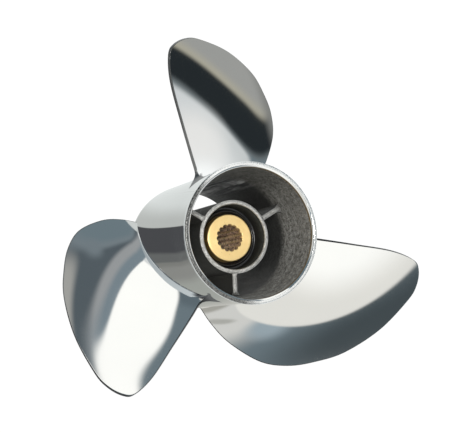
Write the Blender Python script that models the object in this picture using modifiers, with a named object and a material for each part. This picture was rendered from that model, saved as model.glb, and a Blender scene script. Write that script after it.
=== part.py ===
"""Outboard motor propeller: three blades on an exhaust barrel, right-hand, 13 3/4 inch diameter.

Every height below is measured from the forward rim, along the shaft towards the stern.
The part's origin is on the shaft axis, ORIGIN_HEIGHT aft of the forward rim.
"""

import math

import bmesh
import bpy
from mathutils import Vector

# Shaft axis and origin
ORIGIN_HEIGHT = 0.0713
BLADES = 3
GAP = 0.0003

# Exhaust barrel
BARREL_LENGTH = 0.1554
BARREL_RADIUS = 0.0578
BARREL_WAIST = 0.0582
BARREL_NECK = 0.0590
RIM_RADIUS = 0.0607
RIM_BORE = 0.0566
BARREL_BORE = 0.0504
FORWARD_BORE = 0.0512
RIM_FLARE_START = 0.1480
BORE_FLARE_START = 0.1150

# Inner hub
HUB_RADIUS = 0.0321
HUB_BORE = 0.0280
HUB_FORWARD = 0.0100
HUB_AFT = 0.1163
HUB_LIP = 0.0060
HUB_LIP_BORE = 0.0222

# Ribs between the barrel and the inner hub
RIB_THICKNESS = 0.0032
RIB_FORWARD = 0.0120
RIB_AFT = 0.1155
RIB_ANGLE = 45.0

# Rubber bush and splined sleeve
BUSH_FORWARD = HUB_FORWARD + HUB_LIP + GAP
BUSH_AFT = 0.0970
SLEEVE_RADIUS = 0.0209
SLEEVE_FORWARD = 0.0060
SLEEVE_AFT = 0.1042
SPLINE_TEETH = 15
SPLINE_ROOT = 0.0121
SPLINE_CREST = 0.0104

# Blade: radius where the screw surface is laid out, and its rake and pitch polynomials
TIP_RADIUS = 0.1746
LAYOUT_RADIUS = 0.060
LAYOUT_SPAN = 0.110
RAKE = (0.0939, 0.0420, -0.0240, 0.0185)
PITCH = (0.0708, 0.0132, -0.0167)
ROOT_THICKNESS = 0.0095
TIP_THICKNESS = 0.0030
LEADING_THICKNESS = 0.0014
TRAILING_THICKNESS = 0.0027

# Blade outline seen along the shaft: radius in metres and angle in degrees from the tip line
TRAILING_EDGE = (
    (0.053, 14.8), (0.080, 12.6), (0.111, 10.6), (0.145, 9.2), (0.1655, 7.0), (0.1720, 4.4), (TIP_RADIUS, 0.0),
)
LEADING_EDGE = (
    (0.053, -69.7), (0.075, -64.0), (0.096, -58.4), (0.120, -50.6), (0.134, -43.1), (0.144, -35.4),
    (0.1545, -26.9), (0.1650, -15.6), (0.1729, -4.9), (TIP_RADIUS, 0.0),
)
BLADE_ROWS = 14
BLADE_COLUMNS = 10

STEPS = 60


def clear_scene():
    for item in list(bpy.data.objects):
        bpy.data.objects.remove(item, do_unlink=True)


def make_collection(name):
    collection = bpy.data.collections.get(name) or bpy.data.collections.new(name)
    if name not in bpy.context.scene.collection.children:
        bpy.context.scene.collection.children.link(collection)
    return collection


def make_material(name, colour, roughness, metallic):
    material = bpy.data.materials.new(name)
    material.use_nodes = True
    shader = material.node_tree.nodes["Principled BSDF"]
    shader.inputs["Base Color"].default_value = (*colour, 1.0)
    shader.inputs["Roughness"].default_value = roughness
    shader.inputs["Metallic"].default_value = metallic
    return material


def add_object(name, data, collection, material, parent):
    item = bpy.data.objects.new(name, data)
    collection.objects.link(item)
    item.parent = parent
    if material is not None:
        data.materials.append(material)
    return item


def turned(name, profile, collection, material, parent, steps=STEPS):
    """A closed profile in the XZ plane, turned about Z by a Screw modifier."""
    mesh = bpy.data.meshes.new(name)
    verts = [(r, 0.0, z) for r, z in profile]
    count = len(profile)
    edges = [(i, (i + 1) % count) for i in range(count)]
    mesh.from_pydata(verts, edges, [])
    item = add_object(name, mesh, collection, material, parent)
    screw = item.modifiers.new("Turn", "SCREW")
    screw.axis = "Z"
    screw.steps = steps
    screw.render_steps = steps
    screw.use_merge_vertices = True
    screw.merge_threshold = 0.00005
    screw.use_smooth_shade = True
    return item


def barrel_outside(grow=0.0):
    """Outer side of the barrel, from the aft rim down to the forward rim."""
    return [
        (RIM_RADIUS - 0.0006 + grow, BARREL_LENGTH),
        (RIM_RADIUS + grow, BARREL_LENGTH - 0.0008),
        (RIM_RADIUS + grow, BARREL_LENGTH - 0.0022),
        (BARREL_NECK + grow, RIM_FLARE_START),
        (BARREL_WAIST + grow, 0.5 * RIM_FLARE_START),
        (BARREL_RADIUS + grow, 0.004),
        (BARREL_RADIUS - 0.0010 + grow, 0.0),
    ]


def barrel_profile():
    inside = [
        (FORWARD_BORE + 0.0010, 0.0),
        (FORWARD_BORE, 0.0015),
        (BARREL_BORE, 0.0300),
        (BARREL_BORE, BORE_FLARE_START),
        (0.5 * (BARREL_BORE + RIM_BORE) - 0.0004, 0.5 * (BORE_FLARE_START + BARREL_LENGTH)),
        (RIM_BORE - 0.0004, BARREL_LENGTH - 0.0010),
        (RIM_BORE + 0.0004, BARREL_LENGTH),
    ]
    return barrel_outside() + inside


def hub_profile():
    return [
        (HUB_RADIUS - 0.0006, HUB_AFT),
        (HUB_RADIUS, HUB_AFT - 0.0006),
        (HUB_RADIUS, HUB_FORWARD + 0.0010),
        (HUB_RADIUS - 0.0010, HUB_FORWARD),
        (HUB_LIP_BORE, HUB_FORWARD),
        (HUB_LIP_BORE, HUB_FORWARD + HUB_LIP),
        (HUB_BORE, HUB_FORWARD + HUB_LIP),
        (HUB_BORE, HUB_AFT - 0.0006),
        (HUB_BORE + 0.0006, HUB_AFT),
    ]


def bush_profile():
    outer = HUB_BORE - GAP - 0.0001
    inner = SLEEVE_RADIUS + GAP
    return [
        (outer - 0.0015, BUSH_AFT),
        (outer, BUSH_AFT - 0.0020),
        (outer, BUSH_FORWARD),
        (inner, BUSH_FORWARD),
        (inner, BUSH_AFT - 0.0010),
        (inner + 0.0010, BUSH_AFT),
    ]


def spline_outline():
    """One turn of the bore: flat-topped teeth between rounded grooves."""
    points = []
    pitch = 2.0 * math.pi / SPLINE_TEETH
    for tooth in range(SPLINE_TEETH):
        start = tooth * pitch
        for fraction, radius in ((0.08, SPLINE_CREST), (0.40, SPLINE_CREST), (0.55, SPLINE_ROOT - 0.0003),
                                 (0.64, SPLINE_ROOT), (0.84, SPLINE_ROOT), (0.93, SPLINE_ROOT - 0.0003)):
            angle = start + fraction * pitch
            points.append((radius * math.cos(angle), radius * math.sin(angle)))
    return points


def splined_sleeve(collection, material, parent):
    """Flat outline with the splined bore inside it, extruded along the shaft."""
    curve = bpy.data.curves.new("splined_sleeve", "CURVE")
    curve.dimensions = "2D"
    curve.fill_mode = "BOTH"
    curve.extrude = 0.5 * (SLEEVE_AFT - SLEEVE_FORWARD)
    rings = [
        [(SLEEVE_RADIUS * math.cos(2.0 * math.pi * i / STEPS), SLEEVE_RADIUS * math.sin(2.0 * math.pi * i / STEPS))
         for i in range(STEPS)],
        spline_outline(),
    ]
    for ring in rings:
        spline = curve.splines.new("POLY")
        spline.points.add(len(ring) - 1)
        for point, (x, y) in zip(spline.points, ring):
            point.co = (x, y, 0.0, 1.0)
        spline.use_cyclic_u = True
    item = add_object("splined_sleeve", curve, collection, material, parent)
    item.location = (0.0, 0.0, 0.5 * (SLEEVE_AFT + SLEEVE_FORWARD))
    return item


def polynomial(coefficients, value):
    total = 0.0
    for power, factor in enumerate(coefficients):
        total += factor * value ** power
    return total


def screw_point(radius, angle):
    """Point of the blade's aft face at a radius and an angle from the tip line."""
    u = (radius - LAYOUT_RADIUS) / LAYOUT_SPAN
    height = polynomial(RAKE, u) + polynomial(PITCH, u) * angle
    turn = angle + math.radians(90.0)
    return Vector((radius * math.cos(turn), radius * math.sin(turn), height))


def screw_normal(radius, angle):
    step = 0.0005
    across = screw_point(radius + step, angle) - screw_point(radius - step, angle)
    along = screw_point(radius, angle + step / radius) - screw_point(radius, angle - step / radius)
    return across.cross(along).normalized()


def edge_curve(points, fraction):
    """Catmull-Rom curve through an edge's points, laid out in the plane across the shaft."""
    flat = []
    for radius, degrees in points:
        angle = math.radians(degrees)
        flat.append(Vector((radius * math.cos(angle), radius * math.sin(angle))))
    flat = [2.0 * flat[0] - flat[1]] + flat + [2.0 * flat[-1] - flat[-2]]
    lengths = [(flat[i + 1] - flat[i]).length for i in range(1, len(flat) - 2)]
    target = fraction * sum(lengths)
    index = 0
    while index < len(lengths) - 1 and target > lengths[index]:
        target -= lengths[index]
        index += 1
    t = min(1.0, target / lengths[index])
    a, b, c, d = flat[index:index + 4]
    point = 0.5 * ((2.0 * b) + (c - a) * t + (2.0 * a - 5.0 * b + 4.0 * c - d) * t ** 2
                   + (3.0 * b - a - 3.0 * c + d) * t ** 3)
    return point.length, math.atan2(point.y, point.x)


def blade_thickness(row, column):
    """Thickness by fraction of the span, then by fraction of the chord from the leading edge."""
    middle = ROOT_THICKNESS + (TIP_THICKNESS - ROOT_THICKNESS) * row ** 0.7
    edge = LEADING_THICKNESS + (TRAILING_THICKNESS - LEADING_THICKNESS) * column
    bulge = (4.0 * column * (1.0 - column)) ** 0.75
    return edge + max(0.0, middle - edge) * bulge


def blade_mesh():
    """Loft between the leading edge and the trailing edge, thickened towards the bow."""
    mesh = bpy.data.meshes.new("blade")
    work = bmesh.new()
    face_aft = []
    face_forward = []
    for i in range(BLADE_ROWS):
        row = i / BLADE_ROWS
        lead_radius, lead_angle = edge_curve(LEADING_EDGE, row)
        trail_radius, trail_angle = edge_curve(TRAILING_EDGE, row)
        aft_row = []
        forward_row = []
        for j in range(BLADE_COLUMNS + 1):
            column = 0.5 - 0.5 * math.cos(math.pi * j / BLADE_COLUMNS)
            radius = lead_radius + (trail_radius - lead_radius) * column
            angle = lead_angle + (trail_angle - lead_angle) * column
            point = screw_point(radius, angle)
            back = point - screw_normal(radius, angle) * blade_thickness(row, column)
            aft_row.append(work.verts.new(point))
            forward_row.append(work.verts.new(back))
        face_aft.append(aft_row)
        face_forward.append(forward_row)
    tip = screw_point(TIP_RADIUS, 0.0)
    tip_aft = work.verts.new(tip)
    tip_forward = work.verts.new(tip - screw_normal(TIP_RADIUS, 0.0) * TRAILING_THICKNESS)
    last = BLADE_ROWS - 1
    for i in range(last):
        for j in range(BLADE_COLUMNS):
            work.faces.new((face_aft[i][j], face_aft[i + 1][j], face_aft[i + 1][j + 1], face_aft[i][j + 1]))
            work.faces.new((face_forward[i][j], face_forward[i][j + 1], face_forward[i + 1][j + 1],
                            face_forward[i + 1][j]))
        for j, flip in ((0, False), (BLADE_COLUMNS, True)):
            quad = [face_aft[i][j], face_forward[i][j], face_forward[i + 1][j], face_aft[i + 1][j]]
            work.faces.new(quad[::-1] if flip else quad)
    for j in range(BLADE_COLUMNS):
        work.faces.new((face_aft[last][j], tip_aft, face_aft[last][j + 1]))
        work.faces.new((face_forward[last][j], face_forward[last][j + 1], tip_forward))
        work.faces.new((face_aft[0][j], face_aft[0][j + 1], face_forward[0][j + 1], face_forward[0][j]))
    work.faces.new((face_aft[last][0], face_forward[last][0], tip_forward, tip_aft))
    work.faces.new((face_aft[last][-1], tip_aft, tip_forward, face_forward[last][-1]))
    bmesh.ops.recalc_face_normals(work, faces=work.faces)
    bmesh.ops.triangulate(work, faces=work.faces)
    for face in work.faces:
        face.smooth = True
    work.to_mesh(mesh)
    work.free()
    mesh.set_sharp_from_angle(angle=math.radians(40.0))
    return mesh


def build_ribs(collection, material, parent):
    inner = HUB_RADIUS + GAP
    outer = BARREL_BORE - 2.0 * GAP
    for index in range(BLADES):
        name = "rib_%d" % (index + 1)
        mesh = bpy.data.meshes.new(name)
        work = bmesh.new()
        bmesh.ops.create_cube(work, size=1.0)
        size = Vector((outer - inner, RIB_THICKNESS, RIB_AFT - RIB_FORWARD))
        bmesh.ops.scale(work, vec=size, verts=work.verts)
        middle = Vector((0.5 * (outer + inner), 0.0, 0.5 * (RIB_AFT + RIB_FORWARD)))
        bmesh.ops.translate(work, vec=middle, verts=work.verts)
        work.to_mesh(mesh)
        work.free()
        item = add_object(name, mesh, collection, material, parent)
        item.rotation_euler = (0.0, 0.0, math.radians(90.0 + RIB_ANGLE + 360.0 * index / BLADES))


def build_blades(collection, cutters, material, parent):
    outside = barrel_outside(GAP)
    top = [(outside[0][0], BARREL_LENGTH + 0.02)]
    bottom = [(outside[-1][0] + 0.001, -0.02)]
    core = [(0.030, -0.02), (0.030, BARREL_LENGTH + 0.02)]
    cutter = turned("barrel_clearance", top + outside[1:-1] + bottom + core, cutters, None, parent)
    cutter.hide_render = True
    cutter.display_type = "WIRE"
    mesh = blade_mesh()
    mesh.materials.append(material)
    for index in range(BLADES):
        item = add_object("blade_%d" % (index + 1), mesh, collection, None, parent)
        item.rotation_euler = (0.0, 0.0, 2.0 * math.pi * index / BLADES)
        cut = item.modifiers.new("Root", "BOOLEAN")
        cut.operation = "DIFFERENCE"
        cut.solver = "EXACT"
        cut.object = cutter


def main():
    clear_scene()
    parts = make_collection("outboard_propeller")
    cutters = make_collection("cutters")
    steel = make_material("polished_stainless", (0.62, 0.62, 0.61), 0.12, 1.0)
    rough_steel = make_material("cast_stainless", (0.36, 0.34, 0.31), 0.55, 1.0)
    brass = make_material("sleeve_brass", (0.90, 0.62, 0.27), 0.35, 1.0)
    rubber = make_material("bush_rubber", (0.012, 0.012, 0.013), 0.45, 0.0)
    centre = bpy.data.objects.new("shaft_axis", None)
    centre.empty_display_size = 0.05
    centre.location = (0.0, 0.0, -ORIGIN_HEIGHT)
    parts.objects.link(centre)
    turned("exhaust_barrel", barrel_profile(), parts, steel, centre)
    turned("inner_hub", hub_profile(), parts, rough_steel, centre)
    turned("rubber_bush", bush_profile(), parts, rubber, centre)
    splined_sleeve(parts, brass, centre)
    build_ribs(parts, rough_steel, centre)
    build_blades(parts, cutters, steel, centre)


main()
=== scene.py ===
"""Outboard propeller in polished stainless steel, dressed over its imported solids."""

import math

import bmesh
import bpy
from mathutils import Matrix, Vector


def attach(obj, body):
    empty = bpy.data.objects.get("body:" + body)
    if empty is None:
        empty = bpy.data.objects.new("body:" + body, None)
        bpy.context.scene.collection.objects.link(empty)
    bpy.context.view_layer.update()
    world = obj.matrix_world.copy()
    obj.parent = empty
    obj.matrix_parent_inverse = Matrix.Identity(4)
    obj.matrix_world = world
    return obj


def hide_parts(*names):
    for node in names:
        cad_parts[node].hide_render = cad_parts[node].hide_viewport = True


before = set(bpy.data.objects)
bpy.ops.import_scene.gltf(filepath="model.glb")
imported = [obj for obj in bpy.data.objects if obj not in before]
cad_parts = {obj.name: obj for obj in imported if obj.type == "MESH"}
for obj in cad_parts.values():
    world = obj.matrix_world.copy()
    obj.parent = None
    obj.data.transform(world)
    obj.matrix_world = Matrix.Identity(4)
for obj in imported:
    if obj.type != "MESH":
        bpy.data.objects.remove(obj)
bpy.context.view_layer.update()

FULL_TURN = 2.0 * math.pi
RADIAN = math.degrees(1.0)

# Sizes are in metres. Heights run aft from the forward rim, and FORWARD is that rim's height in the part
FORWARD = -0.0713
BLADES = 3

# Barrel: its outside widens from a waist, more towards the mouth than towards the forward rim
BARREL_LENGTH = 0.1554
RIM_RADIUS = 0.0607
WAIST_RADIUS = 0.0582
WAIST_HEIGHT = 0.0740
WIDENS_AFT = 0.0008
WIDENS_FORWARD = 0.0004

# Hub and sleeve
HUB_RADIUS = 0.0321
HUB_BORE = 0.0280
HUB_AFT = 0.1163
SLEEVE_RADIUS = 0.0209
SLEEVE_FORWARD = 0.0060
SLEEVE_AFT = 0.1042
SPLINE_TEETH = 15
SPLINE_ROOT = 0.0121
SPLINE_CREST = 0.0104
SPLINE_FLATNESS = 3.0

# Closed profiles that are turned about the shaft: radius, height and the rounding of that corner
BARREL_PROFILE = (
    (0.0599, BARREL_LENGTH - 0.0002, 0.0003),
    (RIM_RADIUS, BARREL_LENGTH - 0.0011, 0.0004),
    (RIM_RADIUS, BARREL_LENGTH - 0.0034, 0.0010),
    (0.0593, 0.1480, 0.0030),
    (0.0588, 0.1300, 0.0040),
    (WAIST_RADIUS, WAIST_HEIGHT, 0.0060),
    (0.0578, 0.0060, 0.0020),
    (0.0572, 0.0, 0.0008),
    (0.0524, 0.0, 0.0008),
    (0.0512, 0.0025, 0.0010),
    (0.0504, 0.0300, 0.0040),
    (0.0504, 0.1080, 0.0040),
    (0.0518, 0.1170, 0.0060),
    (0.0538, 0.1320, 0.0060),
    (0.0556, 0.1500, 0.0030),
    (0.0562, 0.1538, 0.0004),
    (0.0567, 0.1545, 0.0004),
    (0.0577, BARREL_LENGTH, 0.0003),
)
HUB_PROFILE = (
    (HUB_RADIUS - 0.0015, HUB_AFT, 0.0004),
    (HUB_RADIUS, HUB_AFT - 0.0013, 0.0006),
    (HUB_RADIUS, 0.0110, 0.0010),
    (HUB_RADIUS - 0.0010, 0.0100, 0.0005),
    (0.0222, 0.0100, 0.0005),
    (0.0222, 0.0160, 0.0005),
    (HUB_BORE, 0.0160, 0.0003),
    (HUB_BORE, HUB_AFT - 0.0042, 0.0003),
    (0.0284, HUB_AFT - 0.0036, 0.0003),
    (0.0286, HUB_AFT - 0.0010, 0.0006),
    (0.0292, HUB_AFT, 0.0006),
)
BUSH_PROFILE = (
    (0.0276, 0.0970, 0.0006),
    (0.0276, 0.0163, 0.0004),
    (0.0212, 0.0163, 0.0004),
    (0.0212, 0.0955, 0.0006),
    (0.0222, 0.0960, 0.0006),
    (0.0228, 0.0985, 0.0009),
    (0.0240, 0.1000, 0.0010),
    (0.0251, 0.0985, 0.0009),
    (0.0258, 0.0962, 0.0008),
)

# Outside of the sleeve from the aft face round to the forward face, as radius and height
SLEEVE_PROFILE = (
    (0.0150, SLEEVE_AFT),
    (0.0190, SLEEVE_AFT),
    (0.0200, SLEEVE_AFT),
    (0.0202, SLEEVE_AFT - 0.00005),
    (SLEEVE_RADIUS - 0.0001, SLEEVE_AFT - 0.0006),
    (SLEEVE_RADIUS, SLEEVE_AFT - 0.0008),
    (SLEEVE_RADIUS, SLEEVE_AFT - 0.0100),
    (SLEEVE_RADIUS, SLEEVE_FORWARD + 0.0010),
    (SLEEVE_RADIUS - 0.0008, SLEEVE_FORWARD),
    (0.0150, SLEEVE_FORWARD),
)

# The splined bore's rows at its forward and aft end: how much they are opened out, and height
SPLINE_ENTRY = ((0.0008, SLEEVE_FORWARD), (0.0, SLEEVE_FORWARD + 0.0008))
SPLINE_EXIT = ((0.0, SLEEVE_AFT - 0.0006), (0.0001, SLEEVE_AFT - 0.00015), (0.0003, SLEEVE_AFT))
SPLINE_ROWS = 8

# Points round each turned piece, and in each rounded corner
BARREL_STEPS = 192
HUB_STEPS = 160
BUSH_STEPS = 128
SLEEVE_STEPS = SPLINE_TEETH * 18
BARREL_CORNER_STEPS = 5
CORNER_STEPS = 4
CORNER_SHARE = 0.45

# Ribs: they start just inside the hub's skin, have stations along them, and spread at both ends
RIB_ANGLE = 45.0
RIB_HALF = 0.0021
RIB_AFT = 0.1142
RIB_FORWARD = 0.0120
RIB_INNER = HUB_RADIUS - 0.0004
RIB_OUTER = 0.0510
RIB_STATIONS = (
    0.0, 0.0005, 0.0011, 0.0020, 0.0035, 0.0055, 0.0080, 0.0100, 0.0116,
    0.0130, 0.0142, 0.0152, 0.0161, 0.0169, 0.0176, 0.0182, 0.0187, 0.0191,
)
RIB_HUB_SPREAD = 0.0020
RIB_WALL_SPREAD = 0.0042
RIB_WIDENS = 0.85
RIB_RISES = 0.9
RIB_ROUND_STEPS = 12
RIB_SIDE_STEPS = 8

# Blade's screw: height of the tip line, and height gained in one radian, as powers of the place outwards
TIP_RADIUS = 0.1746
LAYOUT_RADIUS = 0.060
LAYOUT_SPAN = 0.110
RAKE = (0.0939, 0.0420, -0.0240, 0.0185)
PITCH = (0.0708, 0.0132, -0.0167)

# Blade outline: radius and angle from the tip line, from the trailing root round the tip to the leading
# root. The trailing edge runs out along the barrel at its foot.
OUTLINE = (
    (0.0560, 29.0), (0.0582, 23.0), (0.0600, 18.2), (0.0630, 15.0), (0.0670, 13.6),
    (0.0800, 12.5), (0.1110, 10.6), (0.1450, 9.2), (0.1655, 7.0), (0.1720, 4.4), (TIP_RADIUS, 0.0),
    (0.1729, -4.9), (0.1650, -15.6), (0.1545, -26.9), (0.1440, -35.4), (0.1340, -43.1),
    (0.1200, -50.6), (0.0960, -58.4), (0.0750, -64.0), (0.0530, -69.7),
)
TRAILING_CORNER = 8.0
LEADING_CORNER = 12.0
OUTLINE_STEPS = 400

# Blade's mesh: shares of the way from root to tip, close together near the barrel, and columns across it
ROOT_ROWS = (0.0, 0.015, 0.024)
FOOT_ROWS = 24
FOOT_ROWS_START = 0.030
FOOT_ROW_STEP = 0.0026
FACE_ROWS = 52
FACE_ROWS_START = 0.097
FACE_ROWS_RUN = 0.903
FACE_ROWS_POWER = 1.25
COLUMNS = 60
COLUMNS_START = 0.04
COLUMNS_RUN = 0.92

# Blade's thickness, and how it falls off towards the tip and the edges
ROOT_THICKNESS = 0.0095
TIP_THICKNESS = 0.0030
LEADING_THICKNESS = 0.0014
TRAILING_THICKNESS = 0.0027
TAPER_POWER = 0.7
BULGE_POWER = 0.75
TIP_FLAT_POWER = 5

# Shapes of an edge across the blade: fullness of its sides, how far it stands out, fullness of its crest
EDGE_STEPS = 8
SQUARE_EDGE = (0.45, 0.32, 0.35)
ROUND_EDGE = (1.0, 0.75, 1.0)

# Root fillet, and the foot of the trailing edge: its height, how deep it starts in the skin, how far it
# spreads on each side, and where it starts and how soon it is full across the blade
ROOT_FILLET = 0.0009
FOOT_HEIGHT = 0.0062
FOOT_SINK = 0.0006
FOOT_AFT = 0.0148
FOOT_FORWARD = 0.0088
FOOT_START = 0.90
FOOT_RUN = 0.10

# Modelling: merge distance, first rise of an extruded ring, and the angles above which an edge stays sharp
MERGE_DISTANCE = 0.000005
RING_RISE = 0.001
TURNED_SHARP = 30.0
SLEEVE_SHARP = 35.0
CORE_SHARP = 40.0
RIB_SHARP = 45.0
SOFT_SHARP = 50.0


# Modelling helpers

def clear_selection():
    if bpy.context.object is not None and bpy.context.object.mode != "OBJECT":
        bpy.ops.object.mode_set(mode="OBJECT")
    bpy.ops.object.select_all(action="DESELECT")


def pick(piece):
    """Selects one piece alone and makes it the active one."""
    clear_selection()
    piece.select_set(True)
    bpy.context.view_layer.objects.active = piece


def begin(name):
    """Names the primitive just added and opens it in edit mode with nothing selected."""
    piece = bpy.context.object
    piece.name = name
    piece.data.name = name
    bpy.ops.object.mode_set(mode="EDIT")
    bpy.ops.mesh.select_all(action="DESELECT")
    return piece


def settle(piece, angle=0.0):
    """Turns a piece about the shaft and leaves its object at the origin, unturned."""
    pick(piece)
    piece.rotation_euler = (0.0, 0.0, angle)
    bpy.ops.object.transform_apply(location=True, rotation=True, scale=True)


def finish_piece(piece, sharp):
    """Merges doubles, points the faces out, shades by angle and settles the piece at the origin."""
    bpy.ops.object.mode_set(mode="EDIT")
    bpy.ops.mesh.select_all(action="SELECT")
    bpy.ops.mesh.remove_doubles(threshold=MERGE_DISTANCE)
    bpy.ops.mesh.normals_make_consistent(inside=False)
    settle(piece)
    bpy.ops.object.shade_smooth_by_angle(angle=math.radians(sharp))
    return piece


def copy_turned(piece, name, turns):
    """A copy with its own mesh, turned about the shaft."""
    pick(piece)
    bpy.ops.object.duplicate()
    copy = bpy.context.object
    copy.name = name
    copy.data.name = name
    settle(copy, turns * FULL_TURN)
    return copy


def stack_rings(name, rings, closed=True):
    """Extrudes a circle ring by ring. Each ring is a list of points, all of one length.
    A closed stack joins its last ring to its first."""
    clear_selection()
    count = len(rings[0])
    bpy.ops.mesh.primitive_circle_add(vertices=count, radius=rings[0][0].length, location=(0.0, 0.0, 0.0))
    piece = begin(name)
    bpy.ops.mesh.select_all(action="SELECT")
    for _ in rings[1:]:
        bpy.ops.mesh.extrude_region_move(TRANSFORM_OT_translate={"value": (0.0, 0.0, RING_RISE)})
    work = bmesh.from_edit_mesh(piece.data)
    work.verts.ensure_lookup_table()
    for index, ring in enumerate(rings):
        for step, point in enumerate(ring):
            work.verts[index * count + step].co = point
    bmesh.update_edit_mesh(piece.data)
    if closed:
        bpy.ops.mesh.select_all(action="DESELECT")
        work = bmesh.from_edit_mesh(piece.data)
        for edge in work.edges:
            if edge.is_boundary:
                edge.select_set(True)
        bmesh.update_edit_mesh(piece.data)
        bpy.ops.mesh.bridge_edge_loops()
    return piece


def turned_ring(radius, height, steps, more=None):
    """Points in a circle about the shaft. more gives what an angle adds to the radius."""
    ring = []
    for step in range(steps):
        angle = FULL_TURN * step / steps
        reach = radius + (more(angle) if more else 0.0)
        ring.append(Vector((reach * math.cos(angle), reach * math.sin(angle), height + FORWARD)))
    return ring


def turned_rings(profile, steps):
    return [turned_ring(radius, height, steps) for radius, height in profile]


def rounded(profile, steps):
    """Points of a closed profile with each corner rounded by its own third value."""
    points = []
    for index, (radius, height, bend) in enumerate(profile):
        here = Vector((radius, height))
        before = Vector(profile[index - 1][:2])
        after = Vector(profile[(index + 1) % len(profile)][:2])
        bend = min(bend, CORNER_SHARE * (here - before).length, CORNER_SHARE * (after - here).length)
        start = here + (before - here).normalized() * bend
        end = here + (after - here).normalized() * bend
        for step in range(steps + 1):
            t = step / steps
            point = start * (1.0 - t) ** 2 + here * 2.0 * t * (1.0 - t) + end * t ** 2
            points.append(tuple(point))
    return points


def make_turned(name, profile, corner_steps, steps, sharp):
    """A closed profile with rounded corners, turned about the shaft."""
    piece = stack_rings(name, turned_rings(rounded(profile, corner_steps), steps))
    return finish_piece(piece, sharp)


def fillet(height, reach):
    """How far a round fillet stands out at a height above the surface it leaves."""
    if height >= reach:
        return 0.0
    rest = reach - max(0.0, height)
    return reach - math.sqrt(max(0.0, reach ** 2 - rest ** 2))


# Blade

def polynomial(coefficients, value):
    total = 0.0
    for power, factor in enumerate(coefficients):
        total += factor * value ** power
    return total


def screw_point(radius, angle):
    """Point of the blade's aft face, blade_1 standing along +Y."""
    u = (radius - LAYOUT_RADIUS) / LAYOUT_SPAN
    height = polynomial(RAKE, u) + polynomial(PITCH, u) * angle + FORWARD
    turn = angle + math.radians(90.0)
    return Vector((radius * math.cos(turn), radius * math.sin(turn), height))


def screw_normal(radius, angle):
    step = 0.0002
    across = screw_point(radius + step, angle) - screw_point(radius - step, angle)
    along = screw_point(radius, angle + step / radius) - screw_point(radius, angle - step / radius)
    return across.cross(along).normalized()


def flat_point(radius, angle):
    """Point of the outline laid flat, its tip line along +X."""
    return Vector((radius * math.cos(angle), radius * math.sin(angle)))


def outline_point(t):
    """Catmull-Rom curve through OUTLINE, t counting its points."""
    flat = [flat_point(radius, math.radians(degrees)) for radius, degrees in OUTLINE]
    flat = [2.0 * flat[0] - flat[1]] + flat + [2.0 * flat[-1] - flat[-2]]
    index = min(int(t), len(OUTLINE) - 2)
    t = t - index
    a, b, c, d = flat[index:index + 4]
    return 0.5 * ((2.0 * b) + (c - a) * t + (2.0 * a - 5.0 * b + 4.0 * c - d) * t ** 2
                  + (3.0 * b - a - 3.0 * c + d) * t ** 3)


def even_run(start, end, fractions):
    """Points on the outline between two of its places, by fractions of the length between them."""
    fine = [outline_point(start + (end - start) * i / OUTLINE_STEPS) for i in range(OUTLINE_STEPS + 1)]
    lengths = [0.0]
    for a, b in zip(fine, fine[1:]):
        lengths.append(lengths[-1] + (b - a).length)
    points = []
    place = 0
    for fraction in fractions:
        target = fraction * lengths[-1]
        while place < OUTLINE_STEPS - 1 and lengths[place + 1] < target:
            place += 1
        span = max(1e-9, lengths[place + 1] - lengths[place])
        points.append(fine[place].lerp(fine[place + 1], (target - lengths[place]) / span))
    return points


def barrel_radius(height):
    """Outer radius of the barrel at a height in the part."""
    up = height - FORWARD
    widens = WIDENS_AFT if up > WAIST_HEIGHT else WIDENS_FORWARD
    return WAIST_RADIUS + (up - WAIST_HEIGHT) * (widens / WAIST_HEIGHT)


def blade_shares():
    """Rows from root to tip and columns from leading to trailing edge, as shares from 0 to 1."""
    rows = list(ROOT_ROWS)
    rows += [FOOT_ROWS_START + FOOT_ROW_STEP * i for i in range(FOOT_ROWS)]
    for i in range(FACE_ROWS + 1):
        rows.append(FACE_ROWS_START + FACE_ROWS_RUN * (1.0 - (1.0 - i / FACE_ROWS) ** FACE_ROWS_POWER))
    columns = []
    for i in range(COLUMNS + 1):
        columns.append(0.5 - 0.5 * math.cos(math.pi * (COLUMNS_START + COLUMNS_RUN * i / COLUMNS)))
    low, high = columns[0], columns[-1]
    return rows, [(c - low) / (high - low) for c in columns]


def blade_grid(rows, columns):
    """Radius and angle of each point of the blade's face, blended between its four borders."""
    last = float(len(OUTLINE) - 1)
    lead = even_run(last, LEADING_CORNER, rows)
    trail = even_run(0.0, TRAILING_CORNER, rows)
    tip = even_run(LEADING_CORNER, TRAILING_CORNER, columns)
    root_lead = math.radians(OUTLINE[-1][1])
    root_trail = math.radians(OUTLINE[0][1])
    root = []
    for v in columns:
        radius = OUTLINE[-1][0] + (OUTLINE[0][0] - OUTLINE[-1][0]) * v
        root.append(flat_point(radius, root_lead + (root_trail - root_lead) * v))
    grid = []
    for i, u in enumerate(rows):
        line = []
        for j, v in enumerate(columns):
            corner = (root[0] * (1.0 - u) * (1.0 - v) + root[-1] * (1.0 - u) * v
                      + tip[0] * u * (1.0 - v) + tip[-1] * u * v)
            point = root[j] * (1.0 - u) + tip[j] * u + lead[i] * (1.0 - v) + trail[i] * v - corner
            line.append((point.length, math.atan2(point.y, point.x)))
        grid.append(line)
    return grid


def section_thickness(u, v):
    edge = LEADING_THICKNESS + (TRAILING_THICKNESS - LEADING_THICKNESS) * v
    middle = ROOT_THICKNESS + (TIP_THICKNESS - ROOT_THICKNESS) * u ** TAPER_POWER
    bulge = (4.0 * v * (1.0 - v)) ** BULGE_POWER * (1.0 - u ** TIP_FLAT_POWER)
    return edge + max(0.0, middle - edge) * bulge


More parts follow.
